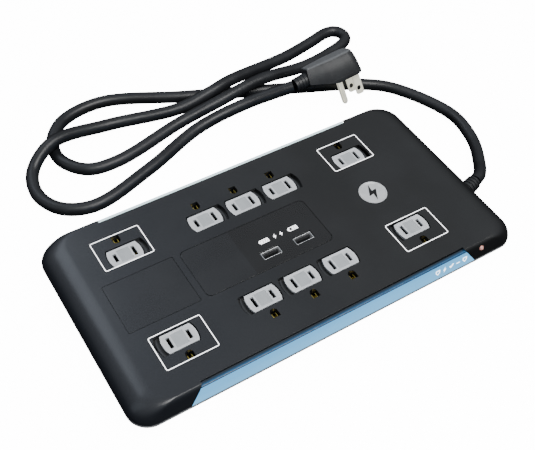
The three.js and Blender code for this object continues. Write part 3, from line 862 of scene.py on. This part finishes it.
# shutters
def shutterPaint():
    paint = Paint("shutter_plastic", Specular_IOR_Level=0.45)
    x, y, z = paint.axes()
    # the sunken dish is painted darker than the lit rim: painted shade in the hollow
    low = 1 - paint.ramp(z, shutter["top"] - 0.32, shutter["top"] - 0.1)
    fine = paint.noise(0.3, 2.0)
    cloudy = paint.ramp(paint.noise(6, 3.0), 0.3, 0.7)
    litRim = paint.blend(cloudy * 0.5 + fine * 0.5, shade(226, 228, 231), shade(210, 213, 217))
    dish = paint.blend(cloudy * 0.5 + fine * 0.5, shade(186, 190, 193), shade(172, 177, 180))
    paint.feed("Base Color", paint.blend(low, litRim, dish))
    paint.feed("Roughness", 0.42 + (fine - 0.5) * 0.12)
    paint.relief(fine, 0.012)
    return paint.material


def makeShutters():
    piece = lozenge("shutter", 0, 0, 0, (shutter["low"], shutter["top"]))
    pick(piece, "FACE", facingUp)
    bpy.ops.mesh.inset(thickness=1.0 * mm, depth=0)
    bpy.ops.mesh.inset(thickness=0.35 * mm, depth=-0.16 * mm)
    done()
    dish = block("dish", (-4.4, -5.1, shutter["top"] - 0.42), (4.4, 5.1, shutter["top"] + 1))
    pick(dish, "FACE", facingDown)
    bpy.ops.transform.resize(value=(0.9, 0.94, 1), center_override=(0, 0, (shutter["top"] - 0.42) * mm))
    done()
    short = block("slot", (-7.45, -3.25, 28), (-5.25, 3.25, 40))
    long = block("slot", (5.25, -3.85, 28), (7.45, 3.85, 40))
    carve(piece, together([dish, short, long]))
    soften(piece, 0.14, 2, 40)
    smooth(piece, 35)
    paint = shutterPaint()
    for made in everyOutlet(piece, "outlet_shutter"):
        node = made.name.replace("outlet_", "")
        hand(made, paint, node, "shutter_plastic", node)


makeShutters()
print("shutters modelled")


# what shows inside each outlet
contact = {"wide": 3.9, "thick": 0.5, "low": 28.6, "high": 31.9}


def makeRecessSteps():        # a low crescent that the shutter slides over
    step = lozenge("step", -17, shutter["recess"] - 1.2, 0.5, (31.25, 31.62))
    carve(step, lozenge("hollow", 0, 0.9, 0.75, (30, 33)))
    soften(step, 0.1, 2, 40)
    smooth(step, 35)
    paint = moulded("recess_satin", (44, 46, 48), (58, 60, 63), 0.28, grain=0.3, depth=0.01)
    for made in everyOutlet(step, "recess_step"):
        hand(made, paint, "housing", "deck_plastic")


def makeContacts():        # the spring leaves that grip a ground pin
    half, y, thick = contact["wide"] / 2, shutter["groundY"] + 0.3, contact["thick"]
    piece = block("leaf", (-half, y - 1.5, contact["low"]), (-half + thick, y + 1.5, contact["high"] - 1.2))
    pick(piece, "FACE", facingUp)
    bpy.ops.mesh.extrude_region_move(TRANSFORM_OT_translate={"value": (0.45 * mm, 0, 0.6 * mm)})
    bpy.ops.mesh.extrude_region_move(TRANSFORM_OT_translate={"value": (-0.1 * mm, 0, 0.6 * mm)})
    done()
    twin = copied(piece, "leaf", Matrix.Diagonal((-1, 1, 1, 1)))
    foot = block("foot", (-half, y - 1.5, contact["low"] - 0.4), (half, y + 1.5, contact["low"]))
    piece = clean(together([piece, twin, foot]))
    soften(piece, 0.1, 2, 40)
    smooth(piece, 35)
    for made in everyOutlet(piece, "ground_leaf"):
        hand(made, brass, "housing", "contact_brass")


brass = metalled("contact_brass", (188, 172, 92), (120, 106, 46), 0.26, (1, 1, 0.3))
makeRecessSteps()
makeContacts()
print("outlet insides modelled")


# inlay panels
def panelPaint(name, split=None):
    paint = Paint(name, Coat_Roughness=0.12, Specular_IOR_Level=0.5)
    x, y, z = paint.axes()
    fine = paint.noise(0.22, 2.0)
    cloudy = paint.ramp(paint.noise(32, 3.0), 0.35, 0.7)
    tone = paint.blend(cloudy * 0.6 + fine * 0.4, shade(26, 27, 29), shade(33, 34, 36))
    # the left end is painted cooler and paler here too, a painted sheen of the light
    leftSheen = paint.ramp(x * -1, 0, 130)
    tone = paint.blend(leftSheen * 0.45, tone, shade(42, 46, 53))
    paint.feed("Coat Weight", 0.3 + cloudy * 0.1)
    if split is not None:
        beyond = paint.ramp(x, split, split + 0.35)
        groove = paint.ramp(x, split - 0.5, split - 0.25) * (1 - paint.ramp(x, split - 0.1, split + 0.15))
        tone = paint.blend(beyond * 0.7, tone, shade(20, 20, 21))
        tone = paint.blend(groove * 0.8, tone, shade(16, 16, 17))
    paint.feed("Base Color", tone)
    paint.feed("Roughness", 0.28 + (paint.noise(30, 2.0) - 0.5) * 0.05 + (fine - 0.5) * 0.05)
    paint.relief(fine, 0.005)
    return paint.material


def makePanels():
    for name in panels:
        low, high = panels[name]
        piece = panelBlock(name.replace("_panel", "_inlay"), name, 0, (low.z, high.z))
        if name == "centre_panel":
            for i in (1, 2):
                carve(piece, usbTool(f"usb_shell_{i}", 0.35, (20, 40)))
        soften(piece, 0.18, 2, 45)
        smooth(piece, 35)
        paint = panelPaint(f"{name}_gloss", -30.3 if name == "centre_panel" else None)
        hand(piece, paint, "housing", "panel_plastic", name)


makePanels()
print("panels modelled")


# USB ports
def makePorts():
    for i in (1, 2):
        low, high = box(f"usb_shell_{i}")
        piece = block(f"usb_can_{i}", low, high)
        pick(piece, "FACE", facingUp)
        bpy.ops.mesh.inset(thickness=0.42 * mm, depth=0)
        bpy.ops.mesh.extrude_region_move(TRANSFORM_OT_translate={"value": (0, 0, -11 * mm)})
        done()
        middle = (low + high) / 2
        springs = [block("spring", (middle.x + s * 3 - 1, low.y - 1, high.z - 5.5),
                         (middle.x + s * 3 + 1, high.y + 1, high.z - 2.4)) for s in (-1, 1)]
        carve(piece, together(springs))
        soften(piece, 0.13, 2, 40)
        smooth(piece, 35)
        hand(piece, steelGlow, "housing", "usb_steel", f"usb_shell_{i}")
        low, high = box(f"usb_tongue_{i}")
        tongue = block(f"usb_blade_{i}", low, high)
        pick(tongue, "EDGE", upright)
        bpy.ops.mesh.bevel(offset=0.3 * mm, segments=3, affect="EDGES")
        done()
        pads = [block("pad", (low.x + 1.2 + 2.6 * k, low.y - 1, low.z + 1), (low.x + 2.2 + 2.6 * k, low.y + 0.25,
                                                                           high.z - 0.8)) for k in range(4)]
        carve(tongue, together(pads))
        soften(tongue, 0.1, 2, 40)
        smooth(tongue, 35)
        hand(tongue, inkBlack, "housing", "panel_plastic", f"usb_tongue_{i}")


# the steel is given a faint glow: painted light
steelGlow = metalled("port_steel", (226, 228, 230), (150, 153, 157), 0.22, Metallic=0.8,
                 Emission_Color=shade(226, 228, 230), Emission_Strength=0.08)
inkBlack = moulded("ink_black", (12, 12, 13), (22, 22, 24), 0.3, grain=0.3, depth=0.006)
makePorts()
print("USB ports modelled")


# printed marks, badge and pictograms
# the print is given a strong glow: painted light that makes it read brighter than its white
printWhiteGlow = moulded("print_white", (246, 247, 248), (232, 234, 236), 0.4, grain=0.3, depth=0.006, spread=0.08,
                     Emission_Color=(1, 1, 1, 1), Emission_Strength=3.0)
printThick = 0.05
frames = {"rear_1": (-110.6, -77.1, 28.3, 52.9), "front_1": (-110.7, -76.3, -51.75, -27.05),
          "rear_5": (61.3, 94.4, 28.6, 52.8), "front_5": (61.15, 95.2, -51.9, -27.1)}


def makeFrames():
    for name, (left, right, near, far) in frames.items():
        bpy.ops.object.select_all(action="DESELECT")
        middle = ((left + right) / 2 * mm, (near + far) / 2 * mm, topZ * mm)
        bpy.ops.mesh.primitive_plane_add(size=1, location=middle)
        bpy.ops.transform.resize(value=((right - left) * mm, (far - near) * mm, 1))
        piece = named(f"printed_frame_{name}")
        only(piece)
        bpy.ops.object.mode_set(mode="EDIT")
        bpy.ops.mesh.select_all(action="SELECT")
        bpy.ops.mesh.bevel(offset=1.3 * mm, segments=5, affect="VERTICES")
        bpy.ops.mesh.select_all(action="SELECT")
        bpy.ops.mesh.inset(thickness=0.5 * mm, depth=0)
        bpy.ops.mesh.delete(type="FACE")
        bpy.ops.mesh.select_all(action="SELECT")
        bpy.ops.mesh.extrude_region_move(TRANSFORM_OT_translate={"value": (0, 0, printThick * mm)})
        done()
        clean(piece)
        smooth(piece, 30)
        hand(piece, printWhiteGlow, "housing", "badge_print")


def boltOutline(size):        # a plain lightning bolt
    points = [(0.14, 0.5), (-0.3, -0.08), (-0.03, -0.08), (-0.14, -0.5), (0.3, 0.1), (0.03, 0.1)]
    return [(x * size, y * size) for x, y in points]


def badgePaint():
    paint = Paint("badge_silver", Metallic=0.35)
    fine = paint.noise(0.4, 3.0, (0.15, 1, 1))
    dull = paint.ramp(paint.noise(7, 3.0), 0.35, 0.7)
    paint.feed("Base Color", paint.blend(dull * 0.6 + fine * 0.4, shade(236, 237, 238), shade(214, 216, 218)))
    paint.feed("Roughness", 0.3 + (fine - 0.5) * 0.14)
    paint.relief(fine, 0.006)
    return paint.material


def makeBadge():
    low, high = box("badge")
    middle = (low + high) / 2
    radius = (high.x - low.x) / 2
    piece = rod("round_badge", (middle.x, middle.y, low.z), radius, high.z - low.z, 72)
    pick(piece, "FACE", facingUp)
    bpy.ops.mesh.inset(thickness=0.9 * mm, depth=0)
    bpy.ops.mesh.inset(thickness=0.25 * mm, depth=-0.25 * mm)
    done()
    soften(piece, 0.12, 2, 40)
    smooth(piece, 35)
    hand(piece, badgePaint(), "housing", "badge_print", "badge")
    bolt = flatShape("badge_bolt", [boltOutline(13.5)], high.z - 0.26, 0.26)
    soften(bolt, 0.08, 2, 40)
    placed(bolt, at(middle.x, middle.y, 0, 8))
    smooth(bolt, 35)
    hand(bolt, inkBlack, "housing", "badge_print")


def makePictograms():        # a row of plain signs by the ports: cell, bolt, cell
    cell = [[(-3.2, -1.5), (3.2, -1.5), (3.2, -0.7), (3.9, -0.7), (3.9, 0.7), (3.2, 0.7), (3.2, 1.5), (-3.2, 1.5)],
            [(-2.7, -1), (2.7, -1), (2.7, 1), (-2.7, 1)]]
    bars = [[(x, -0.65), (x + 1.2, -0.65), (x + 1.2, 0.65), (x, 0.65)] for x in (-2.3, -0.6, 1.1)]
    signs = [(-13.5, cell + bars), (-5.6, [boltOutline(4)]), (-0.8, [boltOutline(4)]), (8.2, cell + bars[:2])]
    for i, (x, outlines) in enumerate(signs, 1):
        sign = flatShape(f"port_sign_{i}", outlines, topZ, printThick)
        placed(sign, at(x, 1.2, 0, 180))
        hand(sign, printWhiteGlow, "housing", "badge_print")


def makeRailSigns():        # shield, bolt and tick on the front rail
    shield = [[(-1.7, 1.9), (1.7, 1.9), (1.7, -0.2), (0, -2), (-1.7, -0.2)],
              [(-1.1, 1.3), (1.1, 1.3), (1.1, 0), (0, -1.2), (-1.1, 0)]]
    tick = [[(-1.8, 0.2), (-1.1, 0.9), (-0.4, 0.1), (1.3, 1.8), (1.9, 1.2), (-0.4, -1.2)]]
    dash = [[(-1.4, -0.3), (1.4, -0.3), (1.4, 0.3), (-1.4, 0.3)]]
    signs = [shield, [boltOutline(4.2)], tick, dash, shield]
    lean = math.atan2(coverBox[1].z - 22.3, cover["sideLean"])
    for i, outlines in enumerate(signs):
        sign = flatShape(f"rail_sign_{i + 1}", outlines, 0, 0.08)
        turn = Matrix.Rotation(lean, 4, "X")
        share = (27 - rimZ) / (topZ - rimZ)
        placed(sign, at(72 + 5.6 * i, -(coverBox[1].y - 0.15 - sideInset(share)) + 0.02, 27) @ turn)
        hand(sign, printWhiteGlow, "housing", "badge_print")


makeFrames()
makeBadge()
makePictograms()
makeRailSigns()
print("printed marks modelled")


# indicator lens, feet, screws, breaker button
def makeLens():
    piece = lensTool(0, 5)
    piece.name = "indicator_dome"
    outward = Vector((0, -1, 1)).normalized()
    pick(piece, "FACE", lambda centre, normal: normal.dot(outward) > 0.9)
    for step in (0.35, 0.25, 0.12):
        bpy.ops.mesh.inset(thickness=0.35 * mm, depth=step * mm)
    done()
    smooth(piece, 50)
    paint = moulded("lens_pink", (240, 190, 178), (226, 150, 140), 0.14, grain=0.5, depth=0.004,
                    Emission_Color=shade(240, 180, 170), Emission_Strength=0.25)
    return hand(piece, paint, "housing", "lens_plastic", "indicator_lens")


def makeFeet():
    paint = moulded("foot_rubber", (20, 20, 21), (34, 34, 35), 0.82, grain=0.5, depth=0.05)
    for name in ("rear_right", "rear_left", "front_right", "front_left"):
        low, high = box(f"foot_{name}")
        base = ((low.x + high.x) / 2, (low.y + high.y) / 2, low.z)
        piece = rod(f"rubber_foot_{name}", base, 6, high.z - low.z)
        pick(piece, "FACE", facingDown)
        for step in (0.9, 0.7, 0.9, 0.7):
            bpy.ops.mesh.inset(thickness=step * mm, depth=(-0.35 if step < 0.8 else 0) * mm)
        done()
        soften(piece, 0.25, 2, 45)
        smooth(piece, 35)
        hand(piece, paint, "housing", "foot_rubber", f"foot_{name}")


def makeScrews():
    for i in range(1, 5):
        low, high = box(f"cover_screw_{i}")
        middle = (low + high) / 2
        piece = rod(f"pan_screw_{i}", (middle.x, middle.y, low.z), 3.2, 1.6, 40)
        shank = rod("shank", (middle.x, middle.y, low.z + 1.3), 1.45, high.z - low.z - 1.3, 24)
        carve(piece, shank, "UNION")
        cross = [block("cross", (middle.x - a, middle.y - b, low.z - 1),
                       (middle.x + a, middle.y + b, low.z + 1))
                 for a, b in ((1.9, 0.42), (0.42, 1.9))]
        carve(cross[0], cross[1], "UNION")
        carve(piece, cross[0])
        soften(piece, 0.22, 2, 50)
        smooth(piece, 35)
        hand(piece, zinc, "housing", "screw_steel", f"cover_screw_{i}")


def makeButton():
    low, high = box("breaker_button")
    y, z = (low.y + high.y) / 2, (low.z + high.z) / 2
    piece = block("reset_button", (128.9, y - 4.3, z - 4.3), (high.x, y + 4.3, z + 4.3))
    pick(piece, "FACE", lambda centre, normal: normal.x > 0.9)
    bpy.ops.mesh.inset(thickness=1 * mm, depth=0)
    bpy.ops.mesh.inset(thickness=0.6 * mm, depth=-0.4 * mm)
    done()
    stem = block("stem", (low.x, y - 3, z - 3), (129.4, y + 3, z + 3))
    carve(piece, stem, "UNION")
    soften(piece, 0.4, 3, 40)
    smooth(piece, 35)
    paint = moulded("button_black", (26, 26, 28), (40, 40, 42), 0.34, grain=0.3, depth=0.01)
    hand(piece, paint, "breaker_button", "button_plastic", "breaker_button")


zinc = metalled("screw_zinc", (196, 200, 204), (138, 142, 146), 0.3)
makeLens()
makeFeet()
makeScrews()
makeButton()
print("small parts modelled")


# finishes of the inner parts that keep their CAD shape
def boardPaint():
    paint = Paint("circuit_board", Coat_Weight=0.4)
    sockets = {"Vector": paint.coords(), "Scale": 160.0, "Mortar Size": 0.03}
    grid = paint.node("ShaderNodeTexBrick", {}, sockets, 1)
    fine = paint.noise(0.8, 3.0)
    tracks = paint.ramp(paint.noise(4, 1.0, (0.3, 1, 1)), 0.5, 0.54)
    tone = paint.blend(tracks, shade(24, 92, 52), shade(40, 120, 66))
    paint.feed("Base Color", paint.blend(grid * 0.5, tone, shade(196, 190, 150)))
    paint.feed("Roughness", 0.4 + (fine - 0.5) * 0.2)
    paint.relief(tracks, 0.03)
    return paint.material


def dressNodes():
    paints = {
        "deck": moulded("deck_black", (16, 17, 18), (26, 27, 29), 0.4, grain=0.3, depth=0.02),
        "board": boardPaint(),
        "ferrite": moulded("ferrite_core", (52, 50, 48), (74, 72, 68), 0.7, grain=0.4, depth=0.06),
        "can": moulded("can_sleeve", (44, 48, 56), (60, 66, 76), 0.32, grain=0.6, depth=0.01),
        "varistor": moulded("varistor_coat", (36, 82, 158), (52, 104, 184), 0.46, grain=0.7, depth=0.06),
        "fuse": moulded("fuse_body", (214, 212, 204), (190, 188, 178), 0.4, grain=0.5, depth=0.02),
        "film": moulded("capacitor_case", (120, 180, 220), (94, 152, 196), 0.34, grain=0.6, depth=0.02),
        "breaker": moulded("breaker_case", (24, 24, 26), (38, 38, 40), 0.5, grain=0.35, depth=0.02),
        "black": moulded("wire_black", (22, 22, 24), (36, 36, 38), 0.42, grain=0.6, depth=0.02),
        "white": moulded("wire_white", (226, 226, 220), (204, 204, 196), 0.42, grain=0.6, depth=0.02),
        "green": moulded("wire_green", (40, 132, 66), (58, 160, 86), 0.42, grain=0.6, depth=0.02),
        "lamp": moulded("lamp_glass", (232, 176, 160), (210, 140, 126), 0.12, grain=0.8, depth=0.01),
    }
    plain = {"usb_board": "board", "surge_board": "board", "usb_transformer": "ferrite", "usb_capacitor": "can",
             "thermal_fuse": "fuse", "filter_capacitor": "film", "breaker_body": "breaker", "hot_wire": "black",
             "neutral_wire": "white", "ground_wire": "green", "indicator_lamp": "lamp"}
    plain.update({f"varistor_{i}": "varistor" for i in (1, 2, 3)})
    for name in rowName.values():
        plain[f"outlet_deck_{name}"] = "deck"
    wanted = {node: paints[look] for node, look in plain.items()}
    for pole in ("hot", "neutral", "ground"):
        for name in rowName.values():
            wanted[f"{pole}_bus_{name}"] = brass
    for node, paint in wanted.items():
        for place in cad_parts[node].material_slots:
            place.material = paint


dressNodes()
print("inner parts dressed")


# floor and light
def floorPaint():
    paint = Paint("pale_floor", Emission_Color=(1, 1, 1, 1), Emission_Strength=14.0)
    fine = paint.noise(60, 3.0)
    paint.feed("Base Color", paint.blend(fine, shade(246, 246, 247), shade(240, 240, 241)))
    paint.feed("Roughness", 0.6 + fine * 0.1)
    return paint.material


def softBox(name, place, aim, size, power, tone=(1, 1, 1)):
    lamp = bpy.data.lights.new(name, "AREA")
    lamp.shape = "RECTANGLE"
    lamp.size, lamp.size_y = size
    lamp.energy = power
    lamp.color = tone
    holder = bpy.data.objects.new(name, lamp)
    bpy.context.scene.collection.objects.link(holder)
    holder.location = place
    holder.rotation_euler = (Vector(aim) - Vector(place)).to_track_quat("-Z", "Y").to_euler()


def studioAir():        # pale above, dark below the table's edge
    world = bpy.data.worlds.new("studio_air")
    world.use_nodes = True
    nodes, links = world.node_tree.nodes, world.node_tree.links
    place = nodes.new("ShaderNodeTexCoord")
    ramp = nodes.new("ShaderNodeValToRGB")
    split = nodes.new("ShaderNodeSeparateXYZ")
    ramp.color_ramp.elements[0].position = 0.02
    ramp.color_ramp.elements[0].color = (0.03, 0.03, 0.035, 1)
    ramp.color_ramp.elements[1].position = 0.7
    ramp.color_ramp.elements[1].color = (0.9, 0.94, 1, 1)
    links.new(place.outputs["Generated"], split.inputs[0])
    links.new(split.outputs[2], ramp.inputs[0])
    links.new(ramp.outputs[0], nodes["Background"].inputs["Color"])
    nodes["Background"].inputs["Strength"].default_value = 0.5
    return world


def makeStudio():
    bpy.ops.object.select_all(action="DESELECT")
    bpy.ops.mesh.primitive_plane_add(size=8, location=(0, 0, 0))
    floor = named("studio_floor")
    floor.data.materials.append(floorPaint())
    floor.visible_glossy = False        # the dark gloss shows the room, not the lit floor
    floor.visible_diffuse = False
    bpy.context.scene.world = studioAir()
    softBox("key_light", (0.3, -0.6, 1.5), (0, 0, 0), (1.1, 0.8), 26, (1, 0.99, 0.97))
    softBox("sheen_light", (-0.35, 0.9, 1.2), (0, 0, 0), (0.9, 0.6), 3.2, (0.8, 0.88, 1))
    softBox("left_light", (-1.2, 0.1, 0.8), (-0.1, 0, 0), (0.5, 1.2), 0.8, (0.75, 0.86, 1))


makeStudio()
print("studio lit")
